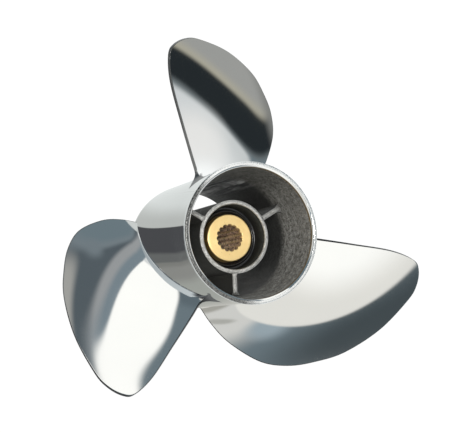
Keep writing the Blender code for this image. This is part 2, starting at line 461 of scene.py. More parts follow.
def swell(point, outward, v, across=None):
    """Moves a root point along the barrel, away from the blade's middle. The foot widens at the trailing
    edge, where across says how far round it the point is: -1 on its forward side, 1 on its aft side."""
    around = Vector((point.x, point.y, 0.0))
    height = around.length - barrel_radius(point.z)
    near = max(0.0, (v - FOOT_START) / FOOT_RUN)
    near = near * near * (3.0 - 2.0 * near)
    aftward = outward.z > 0.0 if across is None else across > 0.0
    spread = FOOT_AFT if aftward else FOOT_FORWARD
    foot = fillet(height + FOOT_SINK, FOOT_HEIGHT) * spread / FOOT_HEIGHT
    amount = fillet(height, ROOT_FILLET) * (1.0 - near) + foot * near
    if amount <= 0.0:
        return point
    up = around.normalized()
    along = outward - up * outward.dot(up)
    return point + along.normalized() * (amount * (1.0 if across is None else across))


def off_edge(point, normal, inner):
    """Direction in the face from an inner point out past an edge point."""
    outward = point - inner
    return (outward - normal * outward.dot(normal)).normalized()


def edge_ring(aft, forward, normal, outward, shape):
    """Points round an edge from the aft to the forward face, each with its direction and share across."""
    side_fullness, stand, crest_fullness = shape
    thickness = (aft - forward).length
    middle = aft.lerp(forward, 0.5)
    points = []
    for step in range(1, EDGE_STEPS):
        angle = math.pi * (0.5 - step / EDGE_STEPS)
        rise = math.sin(angle)
        out = math.cos(angle)
        across = math.copysign(abs(rise) ** side_fullness, rise)
        reach = stand * out ** crest_fullness
        direction = (normal * rise + outward * out).normalized()
        place = middle + normal * (0.5 * thickness * across) + outward * (thickness * reach * 0.5)
        points.append((place, direction, across))
    return points


def blade_faces(rows, columns):
    """Rows of the aft and the forward face, each point with the direction it looks in."""
    aft = []
    forward = []
    for u, line in zip(rows, blade_grid(rows, columns)):
        aft_row = []
        forward_row = []
        for v, (radius, angle) in zip(columns, line):
            point = screw_point(radius, angle)
            normal = screw_normal(radius, angle)
            aft_row.append((point, normal))
            forward_row.append((point - normal * section_thickness(u, v), -normal))
        aft.append(aft_row)
        forward.append(forward_row)
    return aft, forward


def blade_section(columns, aft, forward):
    """Ring of points through one row: aft face, trailing edge, forward face and leading edge."""
    ring = [swell(p, n, v) for (p, n), v in zip(aft, columns)]
    point, normal = aft[-1]
    outward = off_edge(point, normal, aft[-2][0])
    edge = edge_ring(point, forward[-1][0], normal, outward, SQUARE_EDGE)
    ring += [swell(p, normal, 1.0, across) for p, _, across in edge]
    ring += [swell(p, n, v) for (p, n), v in zip(reversed(forward), reversed(columns))]
    point, normal = aft[0]
    outward = off_edge(point, normal, aft[1][0])
    edge = edge_ring(point, forward[0][0], normal, outward, ROUND_EDGE)
    ring += [swell(p, direction, 0.0) for p, direction, _ in reversed(edge)]
    return ring


def mark_edges(piece, width, count):
    """Gives the strips round the leading and trailing edges the blade's second finish."""
    work = bmesh.from_edit_mesh(piece.data)
    work.verts.ensure_lookup_table()
    trailing = range(width - 1, width + EDGE_STEPS)
    leading = list(range(2 * width + EDGE_STEPS - 2, count)) + [0, 1]
    for face in work.faces:
        places = [vertex.index % count for vertex in face.verts]
        if all(place in trailing for place in places) or all(place in leading for place in places):
            face.material_index = 1
    bmesh.update_edit_mesh(piece.data)


def close_tip(piece, start, width, count, aft, forward, below):
    """Rounds the tip's edge between the last aft row and the last forward row."""
    work = bmesh.from_edit_mesh(piece.data)
    work.verts.ensure_lookup_table()
    bands = []
    for j in range(width):
        point, normal = aft[j]
        outward = off_edge(point, normal, below[j][0])
        edge = edge_ring(point, forward[j][0], normal, outward, SQUARE_EDGE)
        bands.append([place for place, _, _ in edge])
    ends = EDGE_STEPS - 1
    previous = [work.verts[start + j] for j in range(width)]
    trailing = [work.verts[start + width + s] for s in range(ends)]
    leading = [work.verts[start + count - 1 - s] for s in range(ends)]
    forward_row = [work.verts[start + width + ends + width - 1 - j] for j in range(width)]
    rows = []
    for step in range(ends):
        middle = [work.verts.new(bands[j][step]) for j in range(1, width - 1)]
        rows.append([leading[step]] + middle + [trailing[step]])
    rows.append(forward_row)
    for row in rows:
        for j in range(width - 1):
            work.faces.new((previous[j], previous[j + 1], row[j + 1], row[j])).material_index = 1
        previous = row
    bmesh.update_edit_mesh(piece.data)


def make_blade(name):
    rows, columns = blade_shares()
    aft, forward = blade_faces(rows, columns)
    rings = [blade_section(columns, *pair) for pair in zip(aft, forward)]
    piece = stack_rings(name, rings, closed=False)
    width = len(columns)
    count = len(rings[-1])
    mark_edges(piece, width, count)
    close_tip(piece, (len(rings) - 1) * count, width, count, aft[-1], forward[-1], aft[-2])
    return finish_piece(piece, SOFT_SHARP)


# Ribs and sleeve

def rib_section(radius, half, aft, forward):
    """Outline of a rib cut across its length: straight sides between round aft and forward edges."""
    low = forward + half
    high = aft - half
    points = []
    for side, start, end in ((1.0, high, low), (-1.0, low, high)):
        for step in range(RIB_ROUND_STEPS + 1):
            angle = math.pi * step / RIB_ROUND_STEPS
            points.append((side * half * math.cos(angle), start + side * half * math.sin(angle)))
        for step in range(1, RIB_SIDE_STEPS):
            share = step / RIB_SIDE_STEPS
            points.append((-side * half, start * (1.0 - share) + end * share))
    return [Vector((radius, across, height + FORWARD)) for across, height in points]


def make_rib(name):
    """A web between hub and barrel with a round aft edge, spreading at the hub and more at the wall."""
    rings = []
    for along in RIB_STATIONS:
        radius = RIB_INNER + along
        spread = fillet(along, RIB_HUB_SPREAD) + fillet(RIB_OUTER - radius, RIB_WALL_SPREAD)
        half = RIB_HALF + RIB_WIDENS * spread
        rings.append(rib_section(radius, half, RIB_AFT + RIB_RISES * spread, RIB_FORWARD - spread))
    piece = stack_rings(name, rings, closed=False)
    bpy.ops.mesh.select_all(action="SELECT")
    bpy.ops.mesh.fill_holes(sides=0)
    return finish_piece(piece, RIB_SHARP)


def spline_radius(angle):
    """Radius of the splined bore: wide rounded grooves between narrow teeth."""
    phase = (angle * SPLINE_TEETH / FULL_TURN + 0.5) % 1.0 - 0.5
    share = 1.0 - (abs(phase) / 0.5) ** SPLINE_FLATNESS
    return SPLINE_CREST + (SPLINE_ROOT - SPLINE_CREST) * share


def make_sleeve():
    rings = turned_rings(SLEEVE_PROFILE, SLEEVE_STEPS)
    rows = list(SPLINE_ENTRY)
    for step in range(1, SPLINE_ROWS):
        rows.append((0.0, SLEEVE_FORWARD + (SLEEVE_AFT - SLEEVE_FORWARD) * step / SPLINE_ROWS))
    rows += SPLINE_EXIT
    for opened, height in rows:
        rings.append(turned_ring(opened, height, SLEEVE_STEPS, spline_radius))
    piece = stack_rings("sleeve_turned", rings)
    return finish_piece(piece, SLEEVE_SHARP)


# Shader writing

class Value:
    """A shader socket that takes part in arithmetic."""

    def __init__(self, tree, socket):
        self.tree = tree
        self.socket = socket

    def math(self, operation, *others):
        return make_node(self.tree, "ShaderNodeMath", {"operation": operation}, self, *others)

    def __add__(self, other):
        return self.math("ADD", other)

    def __radd__(self, other):
        return self.math("ADD", other)

    def __mul__(self, other):
        return self.math("MULTIPLY", other)

    def __rmul__(self, other):
        return self.math("MULTIPLY", other)

    def __sub__(self, other):
        return self.math("SUBTRACT", other)

    def __rsub__(self, other):
        return make_node(self.tree, "ShaderNodeMath", {"operation": "SUBTRACT"}, other, self)

    def __truediv__(self, other):
        return self.math("DIVIDE", other)

    def __pow__(self, other):
        return self.math("POWER", other)

    def __neg__(self):
        return self * -1.0


def add_node(tree, kind, settings, *values, **named):
    """Adds a node, makes its settings, and feeds its sockets in order or by name."""
    node = tree.nodes.new(kind)
    for key, setting in settings.items():
        setattr(node, key, setting)
    pairs = list(zip(node.inputs, values))
    pairs += [(node.inputs[key], value) for key, value in named.items()]
    for socket, value in pairs:
        if isinstance(value, Value):
            tree.links.new(value.socket, socket)
        elif value is not None:
            if hasattr(socket.default_value, "__len__") and len(value) < len(socket.default_value):
                value = (*value, 1.0)
            socket.default_value = value
    return node


def make_node(tree, kind, settings, *values, output=0, **named):
    """One output of a new node."""
    return Value(tree, add_node(tree, kind, settings, *values, **named).outputs[output])


def mix_colour(tree, share, first, second):
    """A colour between two, by a share. A Mix node's colour sockets are its seventh and eighth."""
    settings = {"data_type": "RGBA", "clamp_factor": True}
    values = (share, None, None, None, None, None, first, second)
    return make_node(tree, "ShaderNodeMix", settings, *values, output=2)


def ramp_between(tree, value, low, high):
    """0 below low and 1 above high, eased between them. low may be the greater."""
    return make_node(tree, "ShaderNodeMapRange", {"interpolation_type": "SMOOTHSTEP"}, value, low, high)


def object_place(tree, scale=None):
    place = make_node(tree, "ShaderNodeTexCoord", {}, output="Object")
    if scale:
        place = make_node(tree, "ShaderNodeMapping", {}, Vector=place, Scale=scale)
    return place


def separate(tree, vector):
    node = add_node(tree, "ShaderNodeSeparateXYZ", {}, vector)
    return [Value(tree, output) for output in node.outputs]


def radius_of(tree, place):
    """Distance from the shaft's axis, and height in the part."""
    x, y, z = separate(tree, place)
    return (x * x + y * y).math("SQRT"), z


def noise(tree, place, scale, detail, roughness):
    values = {"Vector": place, "Scale": scale, "Detail": detail, "Roughness": roughness}
    return make_node(tree, "ShaderNodeTexNoise", {}, **values)


def bump(tree, height, distance, strength):
    return make_node(tree, "ShaderNodeBump", {}, Strength=strength, Distance=distance, Height=height)


def new_material(name, metallic=1.0, roughness=0.3, colour=(0.6, 0.6, 0.6)):
    material = bpy.data.materials.new(name)
    material.use_nodes = True
    tree = material.node_tree
    shader = tree.nodes["Principled BSDF"]
    shader.inputs["Metallic"].default_value = metallic
    shader.inputs["Roughness"].default_value = roughness
    shader.inputs["Base Color"].default_value = (*colour, 1.0)
    return material, tree, shader


def feed(tree, shader, socket, value):
    tree.links.new(value.socket, shader.inputs[socket])


# Colours of the finishes. A pair is the dark and the light end of a grain.

STEEL = ((0.66, 0.665, 0.66), (0.70, 0.70, 0.69))
# Painted shade for the foot of a blade's trailing edge
STEEL_FOOT_SHADE = (0.070, 0.072, 0.076)
SAND = ((0.055, 0.051, 0.044), (0.30, 0.294, 0.275))
SAND_SWIRL = (0.090, 0.086, 0.078)
# Painted shade for the sandy part's side towards +y
SAND_SHADE = ((0.018, 0.018, 0.016), (0.064, 0.063, 0.057))
# Painted shade for the deep part of the barrel's inside, and painted light on its upper left and at its
# bottom
DEEP_SHADE = ((0.014, 0.014, 0.013), (0.036, 0.036, 0.034))
DEEP_LIT_UPPER_LEFT = ((0.024, 0.024, 0.024), (0.40, 0.40, 0.395))
DEEP_BLOTCH = (0.05, 0.05, 0.05)
DEEP_LIT_BOTTOM = ((0.03, 0.03, 0.03), (0.16, 0.155, 0.15))
LIP_STAIN = (0.10, 0.068, 0.030)
# Painted shade: the near black of the hub, the ribs' sides and the bore
SHADED_CAST = ((0.012, 0.0115, 0.010), (0.030, 0.029, 0.025))
SHADED_BORE = ((0.016, 0.018, 0.017), (0.045, 0.048, 0.045))
# Wear and painted light: the bright aft-facing edges of hub and ribs
WORN_LIT = ((0.20, 0.195, 0.18), (0.66, 0.65, 0.63))
WORN_LIT_MIDDLE = (0.10, 0.098, 0.092)
WORN_LIT_OUTER = (0.07, 0.068, 0.062)
BUFFED = ((0.70, 0.70, 0.69), (0.86, 0.86, 0.85))
# Painted shade for the rim face's -x side
RIM_SHADE = ((0.075, 0.076, 0.074), (0.20, 0.20, 0.195))
EDGE = ((0.11, 0.113, 0.114), (0.20, 0.204, 0.205))
# Painted shade for the edges of blades 2 and 3
EDGE_SHADE = ((0.020, 0.021, 0.022), (0.042, 0.044, 0.046))
BRASS = ((0.92, 0.64, 0.27), (0.98, 0.75, 0.37))
BRASS_SPECK = (0.42, 0.27, 0.10)
GREASE = ((0.050, 0.025, 0.012), (0.70, 0.50, 0.36))
RUBBER = (0.008, 0.008, 0.009)
RUBBER_DUST = ((0.006, 0.006, 0.007), (0.018, 0.017, 0.016))
BLACK = (0.0, 0.0, 0.0)
WHITE = (1.0, 1.0, 1.0)
CAST_SPECULAR = 0.08


# Finishes. Heights in them are heights in the part.

def polished_steel(name, foot=False):
    """Buffed stainless: a clear mirror with faint polishing lines, haze and fine handling marks.
    At the foot of a blade's trailing edge it is darkened by painted shade and made rougher."""
    material, tree, shader = new_material(name)
    place = object_place(tree)
    haze = noise(tree, place, 22.0, 2.0, 0.5)
    lines = noise(tree, object_place(tree, (1.0, 1.0, 9.0)), 260.0, 2.0, 0.6)
    marks = noise(tree, object_place(tree, (14.0, 1.0, 1.0)), 90.0, 3.0, 0.65)
    marked = ramp_between(tree, marks, 0.66, 0.74)
    rough = 0.030 + haze * 0.030 + lines * 0.015 + marked * 0.04
    colour = mix_colour(tree, haze, *STEEL)
    if foot:
        # Painted shade at the foot of the trailing edge, next to the barrel and near the mouth, which also
        # roughens it
        radius, z = radius_of(tree, place)
        at_barrel = ramp_between(tree, radius + haze * 0.001, 0.0636, 0.0610)
        near_mouth = ramp_between(tree, z, 0.031, 0.037)
        dull_shaded_foot = at_barrel * near_mouth
        colour = mix_colour(tree, dull_shaded_foot, colour, STEEL_FOOT_SHADE)
        rough = rough + dull_shaded_foot * 0.30
    feed(tree, shader, "Roughness", rough)
    feed(tree, shader, "Base Color", colour)
    wave = noise(tree, place, 9.0, 1.0, 0.4)
    feed(tree, shader, "Normal", bump(tree, wave + lines * 0.004, 0.0006, 0.12))
    return material


def cast_grain(tree, place):
    """0 to 1 over the sandy skin of a casting: fine grains, and softer patches a few millimetres wide."""
    fine = noise(tree, place, 800.0, 3.0, 0.75)
    patch = noise(tree, place, 300.0, 2.0, 0.6)
    return ramp_between(tree, fine * 0.6 + patch * 0.4, 0.35, 0.65)


def mouth_cast():
    """Inside of the barrel: grey and sandy near the mouth, darkened deeper in by painted shade, with
    painted light on its upper left and bottom, and streaked along the shaft.
    The sandy part is darkened by painted shade towards +y, and the lip is stained."""
    material, tree, shader = new_material("mouth_cast", 0.0, 0.6)
    shader.inputs["Specular IOR Level"].default_value = CAST_SPECULAR
    place = object_place(tree)
    x, y, z = separate(tree, place)
    grain = cast_grain(tree, place)
    blotch = noise(tree, place, 45.0, 3.0, 0.6)
    streak = noise(tree, object_place(tree, (1.0, 1.0, 0.12)), 160.0, 3.0, 0.6)
    swirl = noise(tree, object_place(tree, (0.14, 0.14, 1.0)), 190.0, 3.0, 0.55)

    swirled = ramp_between(tree, swirl, 0.36, 0.60)
    # Painted shade on the sandy part, darker towards +y and -x
    shaded_upper = ramp_between(tree, y - x * 0.35, -0.030, 0.034)
    sandy = mix_colour(tree, grain, *SAND)
    sandy = mix_colour(tree, swirled * 0.45, sandy, SAND_SWIRL)
    sandy = mix_colour(tree, shaded_upper * 0.78, sandy, mix_colour(tree, grain, *SAND_SHADE))

    # Deep wall: a dark painted shade, with painted light on the upper left and at the bottom, and random
    # streaks and blotches along the shaft
    streaked = ramp_between(tree, streak, 0.36, 0.64)
    blotched = ramp_between(tree, blotch, 0.45, 0.60)
    upper_left = ramp_between(tree, y - x, 0.002, 0.016)
    bottom = ramp_between(tree, y, -0.030, -0.052) * ramp_between(tree, x, -0.03, 0.01)
    lit_upper_left = mix_colour(tree, streaked, *DEEP_LIT_UPPER_LEFT)
    lit_upper_left = mix_colour(tree, blotched * 0.7, lit_upper_left, DEEP_BLOTCH)
    deep_shaded = mix_colour(tree, grain, *DEEP_SHADE)
    deep_shaded = mix_colour(tree, upper_left, deep_shaded, lit_upper_left)
    deep_shaded = mix_colour(tree, bottom * 0.8, deep_shaded, mix_colour(tree, streak, *DEEP_LIT_BOTTOM))

    # Painted shadow: past a ragged line that slants with x, the wall deeper in takes the painted shade
    ragged = z + x * 0.18 + blotch * 0.006 + swirl * 0.006
    deep = ramp_between(tree, ragged, 0.0560, 0.0420)
    at_lip = ramp_between(tree, z + grain * 0.0006, 0.0806, 0.0816)
    colour = mix_colour(tree, deep, sandy, deep_shaded)
    colour = mix_colour(tree, at_lip * 0.85, colour, LIP_STAIN)
    feed(tree, shader, "Base Color", colour)
    feed(tree, shader, "Normal", bump(tree, grain + streak * 0.5, 0.0006, 0.5))
    return material


def dark_cast():
    """Hub, its bore and the ribs' sides: castings darkened nearly to black by painted shade, the bore
    slightly lighter.
    """
    material, tree, shader = new_material("dark_cast", 0.0, 0.6)
    shader.inputs["Specular IOR Level"].default_value = CAST_SPECULAR
    place = object_place(tree)
    grain = cast_grain(tree, place)
    radius, z = radius_of(tree, place)
    in_bore = ramp_between(tree, radius, 0.0300, 0.0295) * ramp_between(tree, z, 0.030, 0.040)
    # Painted shade: near black, slightly lighter in the bore
    colour = mix_colour(tree, grain, *SHADED_CAST)
    colour = mix_colour(tree, in_bore, colour, mix_colour(tree, grain, *SHADED_BORE))
    feed(tree, shader, "Base Color", colour)
    feed(tree, shader, "Roughness", 0.5 + grain * 0.2)
    feed(tree, shader, "Normal", bump(tree, grain, 0.0006, 0.5))
    return material


def worn_lit_cast():
    """Aft edges of hub and ribs: a coarse casting, worn and brightened by painted light, and darker
    further out.
    """
    material, tree, shader = new_material("worn_lit_cast", 0.55)
    place = object_place(tree)
    grain = cast_grain(tree, place)
    fine = noise(tree, place, 1400.0, 2.0, 0.6)
    radius, _ = radius_of(tree, place)
    past_hub = ramp_between(tree, radius, 0.0330, 0.0350)
    near_wall = ramp_between(tree, radius, 0.0455, 0.0500)
    # Painted light and wear: bright on the aft-facing faces, darker further out from the hub
    colour = mix_colour(tree, grain * 0.7 + fine * 0.3, *WORN_LIT)
    colour = mix_colour(tree, past_hub * 0.35, colour, WORN_LIT_MIDDLE)
    colour = mix_colour(tree, near_wall * 0.75, colour, WORN_LIT_OUTER)
    feed(tree, shader, "Base Color", colour)
    feed(tree, shader, "Roughness", 0.34 + fine * 0.2)
    feed(tree, shader, "Normal", bump(tree, grain + fine, 0.0005, 0.6))
    return material


def ground_steel():
    """Aft face of the rim, fresh from the grinding belt: satin, darkened by painted shade on its -x side.
    """
    material, tree, shader = new_material("ground_steel")
    place = object_place(tree)
    x, y, _ = separate(tree, place)
    grain = ramp_between(tree, noise(tree, place, 900.0, 3.0, 0.7), 0.35, 0.65)
    # Painted shade: darker towards -x
    shaded_left = ramp_between(tree, x + y * 0.10 + grain * 0.003, -0.010, -0.032)
    bright = mix_colour(tree, grain, *BUFFED)
    colour = mix_colour(tree, shaded_left, bright, mix_colour(tree, grain, *RIM_SHADE))
    feed(tree, shader, "Base Color", colour)
    feed(tree, shader, "Roughness", 0.22 + grain * 0.16)
    feed(tree, shader, "Normal", bump(tree, grain, 0.0002, 0.15))
    return material


def edge_steel():
    """Blade edges, dressed with a file and left duller than the faces, and blackened by painted shade on
    blades 2 and 3, where y is negative.
    """
    material, tree, shader = new_material("edge_steel")
    place = object_place(tree)
    grain = noise(tree, place, 700.0, 3.0, 0.6)
    _, y, _ = separate(tree, place)
    # Painted shade: blackens the edges where y is negative
    lower_shade = ramp_between(tree, y, -0.006, -0.024)
    colour = mix_colour(tree, grain, *EDGE)
    colour = mix_colour(tree, lower_shade, colour, mix_colour(tree, grain, *EDGE_SHADE))
    feed(tree, shader, "Base Color", colour)
    feed(tree, shader, "Roughness", 0.26 + grain * 0.16)
    return material


def sleeve_brass():
    """Machined brass, a little dull, with turning lines and specks, and with grease deep in its bore."""
    material, tree, shader = new_material("sleeve_brass")
    place = object_place(tree)
    radius, z = radius_of(tree, place)
    turning = (radius * 15000.0).math("SINE")
    cloud = noise(tree, place, 120.0, 4.0, 0.6)
    silt = noise(tree, place, 380.0, 4.0, 0.65)
    specked = ramp_between(tree, noise(tree, place, 900.0, 2.0, 0.5), 0.66, 0.75)
    in_bore = ramp_between(tree, radius, 0.01245, 0.0118)
    deep = ramp_between(tree, z, 0.0325, 0.0290)
    fouled = in_bore * deep
    colour = mix_colour(tree, cloud, *BRASS)
    colour = mix_colour(tree, specked * 0.4, colour, BRASS_SPECK)
    grease = mix_colour(tree, ramp_between(tree, silt, 0.38, 0.62), *GREASE)
    colour = mix_colour(tree, fouled, colour, grease)
    feed(tree, shader, "Base Color", colour)
    feed(tree, shader, "Metallic", 1.0 - fouled * 0.85)
    feed(tree, shader, "Roughness", 0.34 + cloud * 0.14)
    feed(tree, shader, "Normal", bump(tree, turning * 0.3 + cloud, 0.0002, 0.3))
    return material


def bush_rubber():
    """Moulded black rubber, slightly glossy, with mould dust."""
    material, tree, shader = new_material("bush_rubber", 0.0, 0.35, RUBBER)
    dust = noise(tree, object_place(tree), 300.0, 4.0, 0.6)
    feed(tree, shader, "Base Color", mix_colour(tree, dust, *RUBBER_DUST))
    feed(tree, shader, "Roughness", 0.14 + dust * 0.14)
    feed(tree, shader, "Normal", bump(tree, dust, 0.0001, 0.3))
    return material


# Which finish each face takes

RIM_FACE = (0.0577, 0.0606)
RIM_FACE_DEPTH = 0.0010
BORE_RADIUS = 0.0563
BORE_START = 0.001
HUB_RING_DEPTH = 0.0016
RIB_EDGE_START = 0.10
RIB_EDGE_TILT = 0.25


def dress(piece, finishes, choose):
    for finish in finishes:
        piece.data.materials.append(finish)
    for face in piece.data.polygons:
        face.material_index = choose(face)


def barrel_finish(face):
    """0 polished outside and bevel, 1 ground rim, 2 cast inside."""
    centre, normal = face.center, face.normal
    radius = math.hypot(centre.x, centre.y)
    up = centre.z - FORWARD
    if up > BARREL_LENGTH - RIM_FACE_DEPTH and RIM_FACE[0] < radius < RIM_FACE[1]:
        return 1
    if radius < BORE_RADIUS and up > BORE_START and normal.x * centre.x + normal.y * centre.y < 0.0:
        return 2
    return 0


def hub_finish(face):
    """0 dark casting in painted shade, 1 ring that is worn and brightened by painted light."""
    up = face.center.z - FORWARD
    return 1 if up > HUB_AFT - HUB_RING_DEPTH else 0


def rib_finish(face):
    """0 dark sides in painted shade, 1 aft edge that is worn and brightened by painted light."""
    up = face.center.z - FORWARD
    return 1 if up > RIB_EDGE_START and face.normal.z > RIB_EDGE_TILT else 0


# Studio. Tones, 0 to 255, are as seen in the polished steel, which mirrors STEEL_SHINE of the light.

STEEL_SHINE = 0.66
TONE_TOP = 255.0
SLATE_WALL = (102, 115, 122)
TABLE_NEAR = (236, 238, 238)
TABLE_FAR = (192, 196, 197)

# Rise of a direction, 1 straight up: where the table is nearest, and half the soft line along the wall
TABLE_NEAREST = -0.57
WALL_SOFT = 0.035

# Soft boxes, walls and gaps round the part, each at a bearing and elevation in degrees: half width,
# half height, lean, slope, squareness, softness, and tone
CARDS = (
    (354.0, 6.0, 30.0, 9.0, 0.0, 0.0, 4.0, 0.30, (200, 204, 206)),
    (326.4, 25.0, 26.6, 26.6, 0.0, -0.22, 2.0, 0.055, (120, 128, 131)),
    (326.0, 25.0, 25.0, 25.5, 0.0, -0.22, 2.0, 0.080, (35, 40, 43)),
    (323.8, 27.4, 17.2, 14.8, 0.0, -0.13, 2.5, 0.06, (166, 163, 149)),
    (322.5, 29.4, 17.2, 14.8, 0.0, -0.13, 2.5, 0.10, (150, 151, 149)),
    (309.0, 21.0, 7.0, 5.0, 0.0, 0.0, 2.0, 0.60, (126, 127, 125)),
    (353.0, -12.0, 16.0, 12.0, 0.0, 0.0, 2.0, 0.60, (223, 223, 222)),
    (104.0, -6.0, 28.0, 14.0, 0.0, 0.0, 3.0, 0.20, (90, 102, 109)),
    (60.0, 11.4, 26.0, 21.9, 0.12, 0.0, 2.8, 0.045, (250, 250, 247)),
    (43.0, -1.6, 13.4, 24.0, 0.20, 0.25, 3.0, 0.03, (115, 128, 136)),
    (36.7, -2.6, 14.2, 23.0, 0.25, 0.25, 3.0, 0.10, (146, 149, 151)),
    (32.8, -3.3, 13.0, 23.0, 0.28, 0.25, 3.0, 0.10, (80, 89, 95)),
    (33.5, 18.5, 5.8, 6.6, 0.10, 0.05, 3.0, 0.30, (156, 156, 153)),
    (28.0, -6.0, 14.4, 16.4, 0.10, 0.0, 2.6, 0.09, (112, 122, 128)),
    (27.0, -7.0, 12.8, 15.0, 0.10, 0.0, 2.6, 0.14, (103, 117, 124)),
    (39.5, 6.5, 3.6, 2.6, 0.0, 0.0, 2.0, 0.70, (110, 120, 126)),
    (172.0, 10.0, 40.0, 24.0, 0.0, 0.0, 5.0, 0.25, (200, 200, 197)),
    (168.0, 10.5, 14.0, 3.2, 0.0, 0.0, 3.0, 0.35, (158, 157, 151)),
    (166.0, 21.5, 9.0, 1.8, 0.0, 0.25, 2.0, 0.40, (166, 166, 161)),
    (184.0, 55.0, 44.0, 10.5, 0.0, 0.0, 2.0, 0.65, (64, 72, 76)),
    (187.0, 34.5, 13.0, 5.0, 0.0, 0.0, 2.0, 0.60, (146, 160, 168)),
    (226.0, 20.0, 44.0, 34.8, 0.0, 0.0, 1.6, 0.025, (219, 218, 213)),
    (256.0, 26.0, 30.0, 26.0, 0.0, 0.0, 2.0, 0.50, (249, 249, 246)),
    (0.0, -90.0, 400.0, 42.0, 0.0, 0.0, 2.0, 0.10, (196, 200, 199)),
    (175.0, -14.0, 45.0, 11.0, 0.0, 0.0, 3.0, 0.20, (70, 74, 76)),
    (357.0, 68.0, 80.0, 13.0, 0.0, 0.0, 3.0, 0.25, (252, 252, 250)),
)

# Floor and the disc of bands under it: radius, the inset of its rim, and how far it lies under the part
DISC_STEPS = 96
FLOOR_DISC = (1.1, 0.05, 0.0002)
BAND_DISC = (0.106, 0.02, 0.0003)

# Painted reflection: the bands stand for the shade on the table and for blade 2, as the barrel mirrors
# them
# Bands on the disc that the barrel shows: where each starts and is full, by the bearing from the shaft in
# degrees, how many degrees it leans for each metre out from BAND_MIDDLE, and its tone
BANDS = (
    (112.0, 138.0, 100.0, (172, 175, 173)),
    (144.2, 145.4, 100.0, (68, 69, 72)),
    (170.5, 176.0, 280.0, (95, 97, 97)),
    (183.5, 186.5, 280.0, (117, 118, 115)),
    (187.5, 194.0, 280.0, (129, 130, 127)),
    (204.0, 222.0, 280.0, (146, 149, 144)),
    (250.0, 280.0, 280.0, (160, 160, 155)),
)
BAND_BASE = (196, 200, 199)
BAND_MIDDLE = 0.075

# Bearings at which the disc fades in and out, since it is open on one side
BANDS_IN = (96.0, 100.0)
BANDS_OUT = (345.0, 275.0)

# Tube inside the barrel's wall that the blades show in place of the dark hub, toned from forward to aft
CORE_RADIUS = 0.0512
CORE_AFT = 0.1120
CORE_STEPS = 96
CORE_TONES = ((132, 141, 147), (186, 193, 196))

LAMP_SIZE = 0.33
LAMP_POWER = 13.0
LAMP_COLOUR = (1.0, 0.985, 0.955)
LAMP_BEARING = 165.0
LAMP_ELEVATION = 65.0
LAMP_DISTANCE = 1.2

CAMERA_PLACE = (-0.47638, 0.02596, 1.16624)
CAMERA_TURN = (6.265, -22.496, -17.142)
CAMERA_LENS = 106.8
CAMERA_SENSOR = 36.0
CAMERA_REACH = 50.0


def as_light(tone):
    """Light whose reflection in the polished steel has a tone."""
    light = []
    for channel in tone:
        channel = channel / TONE_TOP
        linear = channel / 12.92 if channel <= 0.04045 else ((channel + 0.055) / 1.055) ** 2.4
        light.append(linear / STEEL_SHINE)
    return light


def card_mask(tree, direction, place):
    """1 on a card and 0 off it, by the bearing and elevation looked along."""
    bearing, elevation, width, height, lean, slope, square, soft = place
    x, y, z = direction
    turn = math.radians(bearing)
    ahead = x * math.cos(turn) + y * math.sin(turn)
    aside = y * math.cos(turn) - x * math.sin(turn)
    across = aside.math("ARCTAN2", ahead) * RADIAN
    rise = z.math("ARCSINE") * RADIAN - elevation
    wide = (across - rise * lean).math("ABSOLUTE") / width
    tall = (rise - across * slope).math("ABSOLUTE") / height
    reach = (wide ** square + tall ** square) ** (1.0 / square)
    return ramp_between(tree, reach, 1.0 + soft, 1.0 - soft)


def build_world():
    """The room as the steel mirrors it. The camera itself sees white."""
    world = bpy.data.worlds.new("studio_room")
    bpy.context.scene.world = world
    world.use_nodes = True
    tree = world.node_tree
    tree.nodes.clear()
    direction = separate(tree, make_node(tree, "ShaderNodeTexCoord", {}, output="Generated"))
    rise = direction[2]
    farther = ramp_between(tree, rise, TABLE_NEAREST, 0.0)
    above = ramp_between(tree, rise, -WALL_SOFT, WALL_SOFT)
    colour = mix_colour(tree, farther, as_light(TABLE_NEAR), as_light(TABLE_FAR))
    colour = mix_colour(tree, above, colour, as_light(SLATE_WALL))
    for *place, tone in CARDS:
        colour = mix_colour(tree, card_mask(tree, direction, place), colour, as_light(tone))
    seen = make_node(tree, "ShaderNodeLightPath", {}, output="Is Camera Ray")
    colour = mix_colour(tree, seen, colour, WHITE)
    background = make_node(tree, "ShaderNodeBackground", {}, colour, 1.0)
    add_node(tree, "ShaderNodeOutputWorld", {}, background)


def make_disc(name, radius, rim, drop):
    clear_selection()
    place = (0.0, 0.0, FORWARD - drop)
    bpy.ops.mesh.primitive_circle_add(vertices=DISC_STEPS, radius=radius, fill_type="NGON", location=place)
    disc = begin(name)
    bpy.ops.mesh.select_all(action="SELECT")
    bpy.ops.mesh.inset(thickness=rim)
    settle(disc)
    return disc


def build_floor():
    """A round light table, white to the eye and left out of the steel's reflections."""
    floor = make_disc("light_table", *FLOOR_DISC)
    material, _, shader = new_material("table_white", 0.0, 0.6, BLACK)
    shader.inputs["Emission Color"].default_value = (*WHITE, 1.0)
    shader.inputs["Emission Strength"].default_value = 1.0
    floor.data.materials.append(material)
    floor.visible_glossy = False


def reflection_material(name):
    """Black that only gives light, for stage pieces that show in the steel alone."""
    material, tree, shader = new_material(name, 0.0, 1.0, BLACK)
    shader.inputs["Specular IOR Level"].default_value = 0.0
    shader.inputs["Emission Strength"].default_value = 1.0
    return material, tree, shader


def show_in_steel_only(piece):
    piece.visible_camera = False
    piece.visible_diffuse = False
    piece.visible_shadow = False


